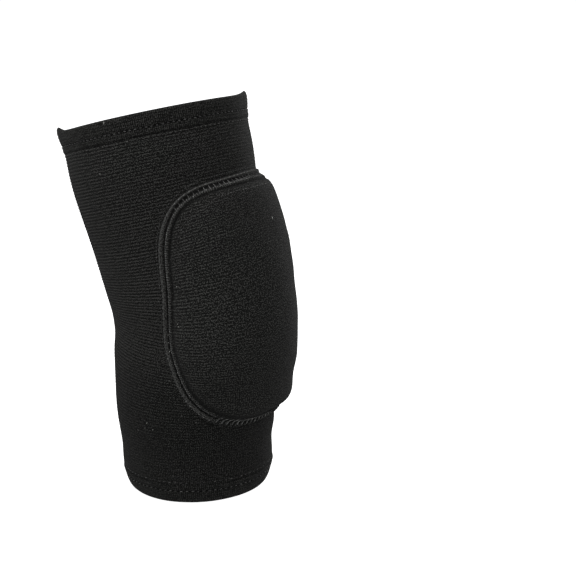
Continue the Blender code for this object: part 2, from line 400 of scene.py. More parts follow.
def build_sleeve():
    """Bent tube of ribbed cloth. Its ends run on under the hems, and its inner face is a plain one."""
    first = (HEM_HEIGHT - TUCK) / LENGTH
    height = np.linspace(first, 1.0 - first, SLEEVE_ROWS)[:, None]
    turn = (np.arange(SLEEVE_COLUMNS) * math.tau / SLEEVE_COLUMNS)[None, :]
    girth = math.tau * radius_at(0.5)
    flat_arc = turn / math.tau * girth
    along = height * LENGTH
    relief = ribs(flat_arc, along - smooth(COURSE_DIP, height) * np.cos(turn), RIB_PITCH, 11, girth)
    relief = relief * smooth(RIB_SHARES, height) * (0.72 - 0.28 * np.cos(turn))
    from_end = np.minimum(height - first, 1 - first - height) * LENGTH
    under = np.clip(1 - from_end / TUCK, 0.0, 1.0)
    slack = SLACK_DEPTH * lattice(turn / math.tau * SLACKS_ROUND, along / SLACK_LENGTH, 21, SLACKS_ROUND)
    most, full_turn, turn_width, full_height, height_width = FULLER
    fuller = most * np.exp(-((turn - full_turn) / turn_width) ** 2 - ((height - full_height) / height_width) ** 2)
    lift = RIB_LIFT * relief * (1 - under) - TUCK_DEPTH * under ** 1.5 + (slack + fuller)
    outside = on_cloth(height, turn * radius_at(height), lift)
    inner_height = np.linspace(1.0 - first, first, INNER_ROWS)[:, None]
    inside = on_cloth(inner_height, turn * radius_at(inner_height), -CLOTH_WALL)
    points = np.concatenate([outside, inside, outside[:1]])
    alongs = np.concatenate([along, inner_height * LENGTH, along[:1]])
    # painted shade: the crest, and with it the colour, is lowered on the lower sleeve and raised round the bend, by
    # height
    shown = 0.5 + 0.5 * relief - smooth(SHADED, height)
    crest = np.concatenate([shown, np.full((INNER_ROWS, SLEEVE_COLUMNS), PLAIN_CREST), shown[:1]])
    return weld(add_grid("sleeve_cloth", points, flat_places(flat_arc, alongs, girth), crest))


# Section of a hem from the edge on the sleeve (0) to the rim (1): the outer face's depth in millimetres
HEM_FACE = (
    (0.000, 0.95), (0.012, 0.45), (0.040, 0.10), (0.080, -0.04), (0.160, -0.10), (0.240, -0.02), (0.300, 0.16),
    (0.336, 0.28), (0.372, 0.14), (0.430, -0.02), (0.560, -0.12), (0.700, -0.10), (0.800, 0.00), (0.880, 0.16),
    (0.940, 0.48), (0.980, 0.92), (1.000, 1.50),
)
# Corners that stand up at the two side folds of the top rim: turn, height and half width
HEM_CORNERS = (
    (math.radians(-146), 0.0036, math.radians(17.5)),
    (math.radians(34), 0.0027, math.radians(18)),
)
# Rows of stitches, by their way in from the rim: one on the hem, and one on the sleeve just beside it
STITCH_ROWS = (0.0080, 0.0131)
# How deep a stitch pulls the hem in
STITCH_PULL = 0.00022
# How deep the hem's outer and inner faces meet at the rim
RIM_DEPTH = 0.0015
# Size of the hem's speckles
HEM_SPECKLE = 0.0016
HEM_COLUMNS = 300
HEM_ROWS = 84
HEM_INNER_ROWS = 14


def hem_place(end, direction, inward, turn, lift):
    """Points near a rim, by their way in from it, their turn round the sleeve and their lift."""
    height = end - direction * inward / LENGTH
    lean, y, z = line_at(end)
    radius = radius_at(height) + HEM_PROUD + lift
    back = -radius * np.cos(turn)
    up = -direction * inward
    return np.stack(np.broadcast_arrays(radius * np.sin(turn), y + back * np.cos(lean) + up * np.sin(lean),
                                        z - back * np.sin(lean) + up * np.cos(lean)), axis=-1)


def hem_lift(end, share, turn):
    """Lift of a hem's outer face: its folds, the pull of each stitch and the knit; and its crest, which takes painted
    shade where the face is sunk.
    """
    seed = 31 if end else 41
    girth = math.tau * radius_at(end)
    arc = turn / math.tau * girth
    around = int(round(girth / STITCH_PITCH))
    wave = 0.5 + 0.5 * np.cos(turn * around)
    near = np.exp(-((share - 1 + STITCH_ROWS[0] / HEM_HEIGHT) / 0.045) ** 2)
    fold = -smooth(HEM_FACE, share) / 1000 - STITCH_PULL * near * wave
    relief = ribs(arc, share * HEM_HEIGHT, HEM_RIB_PITCH, seed, girth) * np.clip((1 - share) * 9, 0.2, 1.0)
    slack = 0.0002 * lattice(turn / math.tau * 22, share * 1.4 + 3, seed + 5, 22)
    # painted shade: the crest, and so the colour, is darker where the hem's face is sunk in its folds
    sunk = np.clip(-(smooth(HEM_FACE, share) - 0.05) * 1.6, -0.6, 0.0) * np.clip((0.85 - share) / 0.1, 0, 1)
    speckle = lattice(arc / HEM_SPECKLE, share * 9, seed + 7, int(girth / HEM_SPECKLE))
    crest = np.clip(0.48 + 0.13 * relief + 0.12 * speckle + sunk, 0.0, 1.0)
    return fold + HEM_RIB_LIFT * relief + slack, crest


def build_hem(name, end, direction):
    """Folded band of cloth at one rim."""
    turn = (np.arange(HEM_COLUMNS) * math.tau / HEM_COLUMNS)[None, :]
    share = (np.linspace(0.0, 1.0, HEM_ROWS) ** 0.9)[:, None]
    lift, crest = hem_lift(end, share, turn)
    rise = end * sum(height * np.exp(-((np.mod(turn - at + math.pi, math.tau) - math.pi) / width) ** 2)
                     for at, height, width in HEM_CORNERS)
    outer = hem_place(end, direction, (1 - share) * HEM_HEIGHT - rise * share ** 1.6, turn, lift)
    inner_share = np.linspace(1.0, 0.0, HEM_INNER_ROWS)[:, None]
    bulge = np.clip((1 - inner_share) * 9, 0, 1) ** 0.5
    inner = hem_place(end, direction, (1 - inner_share) * HEM_HEIGHT - rise * inner_share ** 1.6, turn,
                      -RIM_DEPTH - (HEM_THICKNESS - RIM_DEPTH) * bulge)
    points = np.concatenate([outer, inner[1:], outer[:1]])
    crest = np.concatenate([crest, np.full((len(inner) - 1, HEM_COLUMNS), PLAIN_CREST), crest[:1]])
    girth = math.tau * radius_at(end)
    alongs = np.concatenate([share * HEM_HEIGHT, inner_share[1:] * HEM_HEIGHT + 0.02, share[:1] * HEM_HEIGHT])
    if direction < 0:
        points, crest, alongs = points[::-1], crest[::-1], -alongs[::-1]
    return weld(add_grid(name, points, flat_places(turn / math.tau * girth, alongs, girth), crest))


def build_hem_stitches(name, end, direction):
    """Two rows of short stitches round a hem, sunk into its cloth."""
    girth = math.tau * radius_at(end)
    around = int(round(girth / STITCH_PITCH))
    number = np.arange(around)
    lines, widths = [], []
    for inward, seed, size, on_hem in ((STITCH_ROWS[0], 52, 1.1, True), (STITCH_ROWS[1], 51, 0.75, False)):
        uneven = np.random.default_rng(seed + int(end) * 7)
        middle = (number + 0.5 + uneven.uniform(-0.05, 0.05, around)) * math.tau / around
        half = 0.24 * math.tau / around * uneven.uniform(0.75, 1.1, around)
        step = np.linspace(-1.0, 1.0, 7)[None, :]
        turn = middle[:, None] + half[:, None] * step
        inward = inward + uneven.uniform(-0.0001, 0.0001, (around, 1)) + 0.00008 * step
        if on_hem:
            lift = hem_lift(end, 1 - inward / HEM_HEIGHT, turn)[0] + 0.00042
        else:
            lift = 0.00012 - HEM_PROUD
        lines.append(hem_place(end, direction, inward, turn, lift - 0.00042 * step ** 4))
        widths.append(uneven.uniform(0.00036, 0.00050, around) * size)
    return threads(name, np.concatenate(lines), np.concatenate(widths))


PAD_ROWS = 322
PAD_COLUMNS = 252
PAD_INNER = 26
COVER_CLOTH = 0.0008
# The crease beside the seam: its way in from the seam's middle line, its width and its depth
CREASE_INSET = 0.0038
CREASE_WIDTH = 0.0006
CREASE_DEPTH = 0.0004


def pad_relief(arc, rise):
    """Lift of the cover's knit and its soft hollows, and how high its yarn stands, which sets the colour's painted
    shade and highlight. A crease follows the seam, with painted shade along it.
    """
    climb = 0.03 + 0.10 * np.clip((rise + 0.02) / 0.06, 0.0, 1.0)
    fine = ribs(arc, rise - climb * (PAD_REACH - np.abs(arc)), PAD_RIB_PITCH, 61)
    side = np.clip(np.abs(arc) / PAD_REACH, 0.0, 1.0)
    strength = 0.14 + 0.70 * side ** 2
    hollow = (0.00045 * lattice(arc / 0.026 + 40, rise / 0.021 + 40, 71)
              + 0.00016 * lattice(arc / 0.008 + 60, rise / 0.007 + 60, 72))
    from_seam = np.stack([seam_distance(*row) for row in zip(arc, np.broadcast_to(rise, arc.shape))])
    crease = np.exp(-(np.maximum(from_seam - CREASE_INSET, 0.0) / CREASE_WIDTH) ** 2)
    lift = PAD_RIB_LIFT * fine * strength + hollow - CREASE_DEPTH * crease
    # painted highlight: the colour is lighter on the hump of the patch's -X side, where the light falls most
    painted_highlight = 0.06 * np.exp(-((rise + 0.006) / 0.020) ** 2) * np.exp(-((arc + 0.038) / 0.016) ** 2)
    # painted shade: the crest, and so the colour, is darker in the crease beside the seam
    return lift, (0.485 + 0.5 * fine * strength + painted_highlight) * (1 - 0.52 * crease)


def seam_distance(arc, rise):
    """Distance of places on the patch from the seam's middle line."""
    _, arcs, rises = OUTLINE
    return np.hypot(arc[:, None] - arcs[::16], rise[:, None] - rises[::16]).min(axis=1)


def build_cover():
    """Crowned cloth over the patch. Its edge runs in under the seam."""
    rise = (-PAD_DROP + (PAD_DROP + PAD_RISE) * (np.arange(PAD_ROWS) + 0.35) / (PAD_ROWS - 0.3))[:, None]
    across = np.linspace(-1.0, 1.0, PAD_COLUMNS)[None, :]
    arc = across * pad_edge(rise)
    lift, crest = pad_relief(arc, rise)
    edge = 1 - np.clip((np.abs(across) - 0.985) / 0.015, 0, 1)
    outer = pad_face(arc, rise) + outward_at(pad_face, arc, rise) * (lift * edge)[..., None]
    inner_arc = np.sin(np.linspace(1.0, -1.0, PAD_INNER) * math.pi / 2)[None, :] * pad_edge(rise)
    inner = pad_face(inner_arc, rise) - outward_at(pad_face, inner_arc, rise) * COVER_CLOTH
    # one ring of columns round each row: the outer face one way, the inner one back
    points = np.concatenate([outer, inner], axis=1)
    arcs = np.concatenate([arc, inner_arc, arc[:, :1]], axis=1)
    crest = np.concatenate([crest, np.full(inner_arc.shape, 0.4)], axis=1)
    cover = add_grid("pad_cloth", points, np.stack(np.broadcast_arrays(arcs, rise), axis=-1), crest)
    return close_ends(cover, PAD_ROWS, PAD_COLUMNS + PAD_INNER)


# Section of the seam, from its outer (-0.50) to its inner edge (0.64): height over the cloth in millimetres
SEAM_SECTION = (
    (-0.60, 0.03), (-0.50, 0.08), (-0.45, 0.50), (-0.41, 1.15), (-0.35, 1.78), (-0.28, 2.02), (-0.18, 1.98),
    (-0.10, 1.75), (-0.04, 1.22), (0.01, 0.70), (0.06, 0.50), (0.12, 0.50), (0.16, 0.74), (0.20, 1.26),
    (0.25, 1.70), (0.30, 1.80), (0.36, 1.62), (0.42, 1.26), (0.49, 0.82), (0.56, 0.42), (0.64, 0.05), (0.80, 0.02),
)
# Where the band rounds the front of the upper arm its cords are flatter
FLAT_SECTION = (
    (-0.60, 0.03), (-0.45, 0.08), (-0.38, 0.70), (-0.28, 1.10), (-0.10, 1.25), (0.11, 1.05), (0.30, 1.15),
    (0.48, 0.80), (0.64, 0.05), (0.80, 0.02),
)
# Under the ladder of threads the groove is wider
WIDE_SECTION = SEAM_SECTION[:5] + (
    (-0.29, 1.94), (-0.23, 1.75), (-0.18, 1.20), (-0.13, 0.66), (-0.08, 0.42), (0.12, 0.42), (0.16, 0.66),
    (0.20, 1.20), (0.25, 1.66), (0.30, 1.76), (0.36, 1.60),
) + SEAM_SECTION[-5:]
# The rope of slanted strands that the cords close up into at the foot
ROPE_SECTION = (
    (-0.60, 0.10), (-0.50, 0.60), (-0.42, 1.25), (-0.30, 1.65), (-0.10, 1.80), (0.10, 1.80), (0.32, 1.60),
    (0.50, 0.90), (0.60, 0.20), (0.70, 0.02),
)
# How far each of these holds, by the share of the way round the patch from its foot up the +X side
SEAM_FLAT = ((0.0, 0.0), (0.33, 0.0), (0.40, 0.85), (0.45, 0.75), (0.49, 0.0), (1.0, 0.0))
SEAM_WIDE = ((0.0, 0.0), (0.49, 0.0), (0.52, 0.8), (0.60, 0.9), (0.64, 0.0), (1.0, 0.0))
ROPE_REACH = 0.086
# How much higher than its section the seam stands, by that share
ROPE_RAISE = (
    (0.0, 0.05), (0.03, 0.4), (0.05, 1.1), (0.075, 1.5), (0.10, 0.9), (0.13, 0.0), (0.94, 0.0), (1.0, 0.05),
)
# How much narrower than SEAM_WIDTH the section is round its groove, by that share
SEAM_GROOVE = 0.11
SEAM_SQUEEZE = ((0.0, 0.0), (0.48, 0.0), (0.53, 0.20), (0.58, 0.20), (0.65, 0.0), (1.0, 0.0))
# Where the ladder and the fine row on the patch under it begin and end, by that share
LADDER = (0.385, 0.622)
PATCH_ROW = (0.43, 0.565)
PATCH_ROW_INSET = 0.0064
PATCH_ROW_PITCH = 0.0018
NEEDLE_PITCH = 0.0016
NEEDLE_INSET = -0.0037
# How far the section slides in towards the patch, in shares of SEAM_WIDTH, by that share
SEAM_SLIDE = (
    (0.0, -0.14), (0.035, -0.30), (0.065, -0.50), (0.10, -0.22), (0.14, 0.0), (0.50, 0.0), (0.55, 0.12),
    (0.60, 0.05), (0.66, 0.02), (0.78, 0.0), (0.84, -0.05), (0.90, -0.09), (0.94, -0.09), (1.0, -0.14),
)
SEAM_SPOKES = 1860
SEAM_POINTS = 38
SEAM_EDGES = (-0.50, 0.64)
# Threads along the outer and the inner cord: their number, half their length, how unevenly they follow, their place
# in the section, their slant, how unevenly they lie across, their lift, the drop of their ends and their thickness
CORD_THREADS = (
    (SEAM_STITCHES, 0.15, 0.08, -0.35, 0.02, 0.012, 0.00012, 0.00034, (0.00028, 0.00042)),
    (SEAM_BEADS, 0.17, 0.1, 0.24, 0.03, 0.035, 0.00010, 0.00030, (0.00026, 0.00060)),
)


def by_run(rows, run):
    """Value of the second column at the runs, straight between the rows, which are shares of the seam's length."""
    table = np.array(rows)
    return np.interp(run / SEAM_LENGTH % 1.0, table[:, 0], table[:, 1])


def seam_across(run, place):
    """Share of the seam's width where a place of its section lies at a run."""
    return SEAM_GROOVE + by_run(SEAM_SLIDE, run) + (place - SEAM_GROOVE) / (1 + by_run(SEAM_SQUEEZE, run))


def seam_lift(run, across):
    """Height of the seam's top over the cloth, by the run along it and the share of its width. At the foot its two
    cords close up into one rope of slanted strands."""
    from_groove = across - SEAM_GROOVE - by_run(SEAM_SLIDE, run)
    place = SEAM_GROOVE + from_groove * (1 + by_run(SEAM_SQUEEZE, run))
    flat = by_run(SEAM_FLAT, run)
    wide = by_run(SEAM_WIDE, run)
    cords = (smooth(SEAM_SECTION, place) * (1 - flat - wide) + smooth(FLAT_SECTION, place) * flat
             + smooth(WIDE_SECTION, place) * wide)
    rope = smooth(ROPE_SECTION, place) * (0.80 + 0.20 * strands_at(run, across))
    foot = rope_share(run)
    return (cords * (1 - foot) + rope * foot) * (1 + by_run(ROPE_RAISE, run)) / 1000


def rope_share(run):
    """How far the two cords have become one rope at a run."""
    share = run / SEAM_LENGTH % 1.0
    t = np.clip((ROPE_REACH + 0.015 - np.minimum(share, 1 - share)) / 0.03, 0.0, 1.0)
    return t * t * (3 - 2 * t)


def strands_at(run, across):
    """From 1 on a slanted strand of the rope to -1 between two."""
    return np.cos(math.tau * (run / STRAND_PITCH - across * 0.95))


def seam_face(run, across, height):
    """Points at a height over the cloth under the seam: run along it and share of its width."""
    arc, rise = seam_place(run, across * SEAM_WIDTH)
    return on_patch(arc, rise, pad_lift(arc, rise) * (across > 0) + GAP + height)


def seam_point(run, across, lift):
    """Points on the seam: run along it, share of its width, lift over its top."""
    return seam_face(run, across, seam_lift(run, across) + lift)


def build_seam():
    """Band with two raised cords, whose thread pinches them at each stitch."""
    run = (np.arange(SEAM_SPOKES) * SEAM_LENGTH / SEAM_SPOKES)[None, :]
    place = np.linspace(*SEAM_EDGES, SEAM_POINTS)[:, None]
    across = seam_across(run, place)
    bead = math.tau * (run / SEAM_LENGTH * SEAM_BEADS + across * 0.9)
    pinch = math.tau * (run / SEAM_LENGTH * SEAM_STITCHES + across * 0.8)
    inner = np.clip((place - 0.12) / 0.06, 0, 1) * np.clip((0.50 - place) / 0.10, 0, 1)
    outer = np.clip(-place / 0.06, 0, 1) * np.clip((place + 0.48) / 0.05, 0, 1)
    uneven = 1 + 0.4 * lattice(run / 0.002, across * 3 + 5, 81)
    section = seam_lift(run, across)
    height = section + inner * (0.00016 * np.cos(bead) * uneven) + outer * (0.00003 * np.cos(pinch) * uneven)
    height = height * (1 + 0.16 * inner * lattice(run / 0.0024, across * 2 + 4, 83))
    height = (height + outer * 0.00006 * np.cos(bead + 2 * across)
              + 0.00005 * lattice(run / 0.0011, across * 9 + 8, 82))
    under = on_patch(*seam_place(run, across[[0, -1]] * SEAM_WIDTH), GAP * 0.5)
    points = np.concatenate([under[:1], seam_face(run, across, height), under[1:], under[:1]])[::-1]
    flat = flat_places(run, np.linspace(*SEAM_EDGES[::-1], len(points))[:, None] * SEAM_WIDTH, SEAM_LENGTH)
    # painted shade and highlight: the colour is darker in the groove and between the strands of the rope, and lighter
    # on the cords, on the crowns of their beads and on their threads
    deep = np.clip((section * 1000 - 0.35) / 1.2, 0.0, 1.0)
    foot = rope_share(run)
    inner, outer = inner * (1 - foot), outer * (1 - foot)
    deep = deep * (1 - 0.46 * foot + 0.34 * foot * strands_at(run, across))
    # painted highlight along the outer flank of the outer cord
    rim = np.exp(-((place + 0.38) / 0.09) ** 2)
    stands = deep * (0.62 + 0.08 * outer + 0.24 * rim + 0.42 * inner * np.cos(bead) + 0.05 * outer * np.cos(pinch))
    stands = np.clip(stands, 0.0, 1.0)
    none = 0 * stands[:1]
    crest = np.concatenate([none, stands, none, none])[::-1]
    return weld(add_grid("seam_band", points, flat, crest))


def build_seam_threads():
    """Threads of the seam: dashes on the outer cord, beads on the inner one, and steps over the groove between."""
    uneven = np.random.default_rng(91)
    step = np.linspace(-1.0, 1.0, 7)[None, :]
    lines, widths = [], []
    for count, half, wander, place, slant, stray, lift, drop, thickness in CORD_THREADS:
        along = np.arange(count)[:, None] + 0.5 + half * step + uneven.uniform(-wander, wander, (count, 1))
        run = along * SEAM_LENGTH / count
        across = seam_across(run, place) + slant * step + uneven.uniform(-stray, stray, (count, 1))
        kept = rope_share(run[:, 3]) < 0.5
        lines.append(seam_point(run, across, lift - drop * step ** 4)[kept])
        widths.append(uneven.uniform(*thickness, kept.sum()))
    # steps across the groove along the top
    amount = int(round((LADDER[1] - LADDER[0]) * SEAM_LENGTH / STITCH_PITCH))
    place = (LADDER[0] + (np.arange(amount)[:, None] + 0.5) / amount * (LADDER[1] - LADDER[0])) * SEAM_LENGTH
    run = place + 0.10 * STITCH_PITCH * step
    across = seam_across(run, 0.07 + 0.21 * step)
    arch = 0.00105 - seam_lift(run, across) * 0.55 - 0.00030 * step ** 4
    lines.append(seam_point(run, across, np.maximum(arch, 0.00012 - 0.0004 * step ** 6)))
    widths.append(uneven.uniform(0.9, 1.1, amount) * 0.00032)
    # slanted strands over the rope at the foot
    amount = int(2 * ROPE_REACH * SEAM_LENGTH / STRAND_PITCH)
    run = (np.arange(amount)[:, None] - amount // 2 + 0.33 * step) * STRAND_PITCH
    across = seam_across(run, 0.02 + 0.40 * step)
    lines.append(seam_point(run, across, 0.00010 - 0.0003 * step ** 4))
    widths.append(uneven.uniform(0.9, 1.1, amount) * 0.00054)
    # a fine row on the patch under the ladder
    amount = int((PATCH_ROW[1] - PATCH_ROW[0]) * SEAM_LENGTH / PATCH_ROW_PITCH)
    place = np.arange(amount)[:, None] + uneven.uniform(-0.2, 0.2, (amount, 1))
    run = PATCH_ROW[0] * SEAM_LENGTH + (place + 0.17 * step) * PATCH_ROW_PITCH
    arc, rise = seam_place(run, PATCH_ROW_INSET + uneven.uniform(-0.0001, 0.0001, (amount, 1)))
    lines.append(pad_face(arc, rise, 0.00018 - 0.0003 * step ** 4))
    widths.append(uneven.uniform(0.00026, 0.00044, amount))
    return threads("seam_stitches", np.concatenate(lines), np.concatenate(widths))


def build_needle_line():
    """Fine thread just outside the seam, half sunk into the sleeve."""
    count = int(round(SEAM_LENGTH / NEEDLE_PITCH))
    uneven = np.random.default_rng(93)
    step = np.linspace(-1.0, 1.0, 5)[None, :]
    run = (np.arange(count)[:, None] + 0.5 + 0.36 * step) * SEAM_LENGTH / count
    arc, rise = seam_place(run, NEEDLE_INSET + uneven.uniform(-0.0001, 0.0001, (count, 1)))
    points = on_patch(arc, rise, 0.00022 - 0.0003 * step ** 4)
    return threads("needle_line", points, uneven.uniform(0.00020, 0.00030, count), 5)


# Bits of lint on the cloth. On the sleeve: height, turn, length, width and tilt; on the seam and the patch: arc,
# rise, lift, length, width and tilt
SLEEVE_LINT = (
    (0.9929, -1.424, 0.0016, 0.00045, 1.3), (0.8750, -1.618, 0.0007, 0.00050, 0.9),
    (0.2221, -1.597, 0.0014, 0.00042, 1.2), (0.2071, -1.634, 0.0008, 0.00032, 0.5),
    (0.2057, -1.516, 0.0006, 0.00040, 0.2),
)
PATCH_LINT = (
    (0.0033, 0.0344, 0.0002, 0.0018, 0.00036, 1.5), (-0.0526, -0.0122, 0.0013, 0.0010, 0.00045, 1.2),
    (-0.0527, -0.0162, 0.0013, 0.0009, 0.00042, 0.9), (-0.0525, -0.0209, 0.0013, 0.0007, 0.00042, 1.4),
    (-0.0470, -0.0059, 0.0002, 0.0007, 0.00040, 0.6), (-0.0466, -0.0071, 0.0002, 0.0006, 0.00036, 1.0),
    (-0.0470, 0.0116, 0.0002, 0.0007, 0.00036, 0.7),
)


def build_lint():
    """A few pale fibres caught on the cloth."""
    step = np.linspace(-1.0, 1.0, 5)
    lines, widths = [], []
    for height, turn, length, width, tilt in SLEEVE_LINT:
        arc = turn * radius_at(height) + step * length / 2 * math.cos(tilt)
        away = HEM_PROUD if height > 0.95 else 0.0
        places = height + step * length / 2 * math.sin(tilt) / LENGTH
        lines.append(on_cloth(places, arc, away + 0.0003 + 0.0001 * step ** 2))
        widths.append(width)
    for arc, rise, lift, length, width, tilt in PATCH_LINT:
        arcs, rises = arc + step * length / 2 * math.cos(tilt), rise + step * length / 2 * math.sin(tilt)
        lines.append(pad_face(arcs, rises, lift + 0.0003))
        widths.append(width)
    return threads("lint_bits", np.array(lines), np.array(widths))


# Rows and columns of the foam, its share of the patch's size, and its gap under the cover
FOAM_STEPS = 60
FOAM_SHARE = 0.955
FOAM_GAP = 0.0007


def build_foam():
    """Foam under the cover, on a smooth bed over the sleeve."""
    rows = columns = FOAM_STEPS
    rise = (-PAD_DROP + (PAD_DROP + PAD_RISE) * (np.arange(rows) + 0.5) / rows)[:, None]
    middle = (PAD_RISE - PAD_DROP) / 2
    arc = np.linspace(-1.0, 1.0, columns)[None, :] * pad_edge(rise) * FOAM_SHARE
    rise = middle + (rise - middle) * FOAM_SHARE + 0 * arc
    top = pad_face(arc, rise) - outward_at(pad_face, arc, rise) * (COVER_WALL + FOAM_GAP)
    bed = on_patch(arc, rise, FOAM_BED)
    quads = grid_faces(2 * rows, columns, False)[0].tolist()
    size, end = rows * columns, columns - 1
    for row in range(rows - 1):
        low, high = row * columns, (row + 1) * columns
        low_bed, high_bed = size + (rows - 1 - row) * columns, size + (rows - 2 - row) * columns
        quads.append((low, high, high_bed, low_bed))
        quads.append((low + end, low_bed + end, high_bed + end, high + end))
    last = size + (rows - 1) * columns
    for column in range(end):
        quads.append((column + 1, column, last + column, last + column + 1))
    return add_mesh("foam_core", np.concatenate([top, bed[::-1]]), quads)


# ---- materials

def feed(tree, inlet, value):
    """Links a socket to an inlet, or sets a constant on it."""
    if isinstance(value, bpy.types.NodeSocket):
        tree.links.new(value, inlet)
    else:
        inlet.default_value = value


def node(tree, kind, inputs=(), **values):
    """A node with its settings, and with sockets or constants for its named inputs."""
    made = tree.nodes.new(kind)
    for key, value in values.items():
        setattr(made, key, value)
    for name, value in dict(inputs).items():
        feed(tree, made.inputs[name], value)
    return made


def maths(tree, operation, *values):
    """One Math node over sockets and numbers."""
    made = node(tree, "ShaderNodeMath", operation=operation)
    for inlet, value in zip(made.inputs, values):
        feed(tree, inlet, value)
    return made.outputs[0]


def ramp(tree, value, low, high, to_low=0.0, to_high=1.0):
    """A value carried from one range to another, with soft ends."""
    inputs = {"Value": value, "From Min": low, "From Max": high, "To Min": to_low, "To Max": to_high}
    return node(tree, "ShaderNodeMapRange", inputs, interpolation_type="SMOOTHSTEP").outputs["Result"]


def noise(tree, vector, scale, detail=2.0, roughness=0.5, stretch=None):
    """Noise over a vector, which may be stretched along its axes first."""
    if stretch is not None:
        vector = node(tree, "ShaderNodeMapping", {"Vector": vector, "Scale": stretch}).outputs["Vector"]
    inputs = {"Vector": vector, "Scale": scale, "Detail": detail, "Roughness": roughness}
    return node(tree, "ShaderNodeTexNoise", inputs).outputs["Fac"]


def mixed(tree, share, first, second):
    """One colour turned into another by a share."""
    made = node(tree, "ShaderNodeMix", data_type="RGBA")
    for place, value in ((0, share), (6, first), (7, second)):
        feed(tree, made.inputs[place], (*value, 1.0) if isinstance(value, tuple) else value)
    return made.outputs[2]


def bump(tree, height, distance, strength=1.0, **values):
    """Normal of a surface with fine relief."""
    inputs = {"Height": height, "Distance": distance, "Strength": strength}
    return node(tree, "ShaderNodeBump", inputs, **values).outputs["Normal"]


def new_material(name):
    """Material with its node tree."""
    material = bpy.data.materials.new(name)
    material.use_nodes = True
    return material, material.node_tree


def finish_surface(tree, **values):
    """Sockets or constants for the named inputs of a material's Principled shader; _ stands for a space."""
    shader = tree.nodes["Principled BSDF"]
    for name, value in values.items():
        feed(tree, shader.inputs[name.replace("_", " ")], value)


def new_group(name, inputs, outputs):
    """Node group with named inputs and their values (None for a vector), and named outputs that are numbers."""
    tree = bpy.data.node_groups.new(name, "ShaderNodeTree")
    for key, value in inputs.items():
        kind = "NodeSocketVector" if value is None else "NodeSocketFloat"
        made = tree.interface.new_socket(name=key, in_out="INPUT", socket_type=kind)
        if value is not None:
            made.default_value = value
    for key in outputs:
        tree.interface.new_socket(name=key, in_out="OUTPUT", socket_type="NodeSocketFloat")
    return tree, node(tree, "NodeGroupInput").outputs, node(tree, "NodeGroupOutput").inputs


# How much more than its crest the yarn's brightness varies
CREST_GAIN = 1.45


def build_knit_group():
    """Yarn of a ribbed knit over flat cloth in millimetres: height, how bright a place is, and loose pale fibres.
    Wales is how strongly its upright rows show: fully at Wales Full along the cloth, and not at all at Wales None."""
    tree, enter, leave = new_group("knit_yarn", {
        "Cloth": None, "Crest": 0.5, "Rib Pitch": 1.8, "Wale Pitch": 1.05, "Wales": 0.2, "Wales Full": 10.0,
        "Wales None": 75.0, "Specks": 0.5}, ("Height", "Shade", "Fibres"))
    cloth = enter["Cloth"]
    split = node(tree, "ShaderNodeSeparateXYZ", {"Vector": cloth})
    across, along = split.outputs["X"], split.outputs["Y"]

    wander = noise(tree, cloth, 0.22, 2.0)
    drift = maths(tree, "SUBTRACT", wander, 0.5)
    course = maths(tree, "DIVIDE", maths(tree, "ADD", along, drift), enter["Rib Pitch"])
    wale = maths(tree, "DIVIDE", maths(tree, "ADD", across, drift), enter["Wale Pitch"])
    # each course slides half a loop on from the one below
    shifted = maths(tree, "MULTIPLY_ADD", maths(tree, "FLOOR", course), 0.5, wale)
    loop = maths(tree, "SINE", maths(tree, "MULTIPLY", shifted, math.tau))
    fine = maths(tree, "SINE", maths(tree, "MULTIPLY", course, 2 * math.tau))
    weave = maths(tree, "ADD", maths(tree, "MULTIPLY", loop, 0.5), maths(tree, "MULTIPLY", fine, 0.35))

    patchy = ramp(tree, noise(tree, cloth, 0.42, 3.0, 0.6), 0.36, 0.66)
    dashes = noise(tree, cloth, 0.30, 1.0, 0.5, (1.0, 4.6, 1.0))
    grain = noise(tree, cloth, 1.85, 1.0, 0.6)
    fuzz = noise(tree, cloth, 3.1, 2.0, 0.7)
    height = maths(tree, "MULTIPLY", weave, maths(tree, "MULTIPLY_ADD", patchy, 0.6, 0.4))
    height = maths(tree, "MULTIPLY_ADD", grain, 1.3, height)
    height = maths(tree, "MULTIPLY_ADD", fuzz, 0.7, height)
    tree.links.new(height, leave["Height"])

    # the yarn's crowns catch light, broken up by dashes, by loops and by single fibres
    below = ramp(tree, along, enter["Wales Full"], enter["Wales None"], 1.0, 0.0)
    wales = maths(tree, "MULTIPLY", below, enter["Wales"])
    stands = maths(tree, "MULTIPLY_ADD", enter["Crest"], CREST_GAIN, (1 - CREST_GAIN) / 2)
    upright = maths(tree, "SINE", maths(tree, "MULTIPLY", wale, math.tau))
    stands = maths(tree, "MULTIPLY_ADD", upright, wales, stands)
    stands = maths(tree, "MULTIPLY_ADD", maths(tree, "SUBTRACT", grain, 0.5), 4.5, stands)
    stands = maths(tree, "MULTIPLY_ADD", maths(tree, "SUBTRACT", dashes, 0.5), 0.5, stands)
    shade = ramp(tree, stands, 0.56, 1.00)
    tree.links.new(shade, leave["Shade"])

    cells = node(tree, "ShaderNodeTexVoronoi", {"Vector": cloth, "Scale": 0.55}, feature="F1")
    spot = ramp(tree, cells.outputs["Distance"], 0.24, 0.10)
    pick = node(tree, "ShaderNodeSeparateColor", {"Color": cells.outputs["Color"]})
    chosen = ramp(tree, pick.outputs["Red"], 0.985, 0.999)
    fibres = maths(tree, "MULTIPLY", maths(tree, "MULTIPLY", spot, chosen), enter["Specks"])
    tree.links.new(fibres, leave["Fibres"])
    return tree


def build_twist_group():
    """Sewing thread over the piece's own space: its uneven brightness and its twist."""
    tree, enter, leave = new_group("thread_twist", {"Place": None, "Patch Scale": 420.0, "Twist Scale": 2600.0},
                                   ("Patches", "Twist"))
    tree.links.new(noise(tree, enter["Place"], enter["Patch Scale"], 2.0, 0.6), leave["Patches"])
    tree.links.new(noise(tree, enter["Place"], enter["Twist Scale"], 1.0, 0.5), leave["Twist"])
    return tree


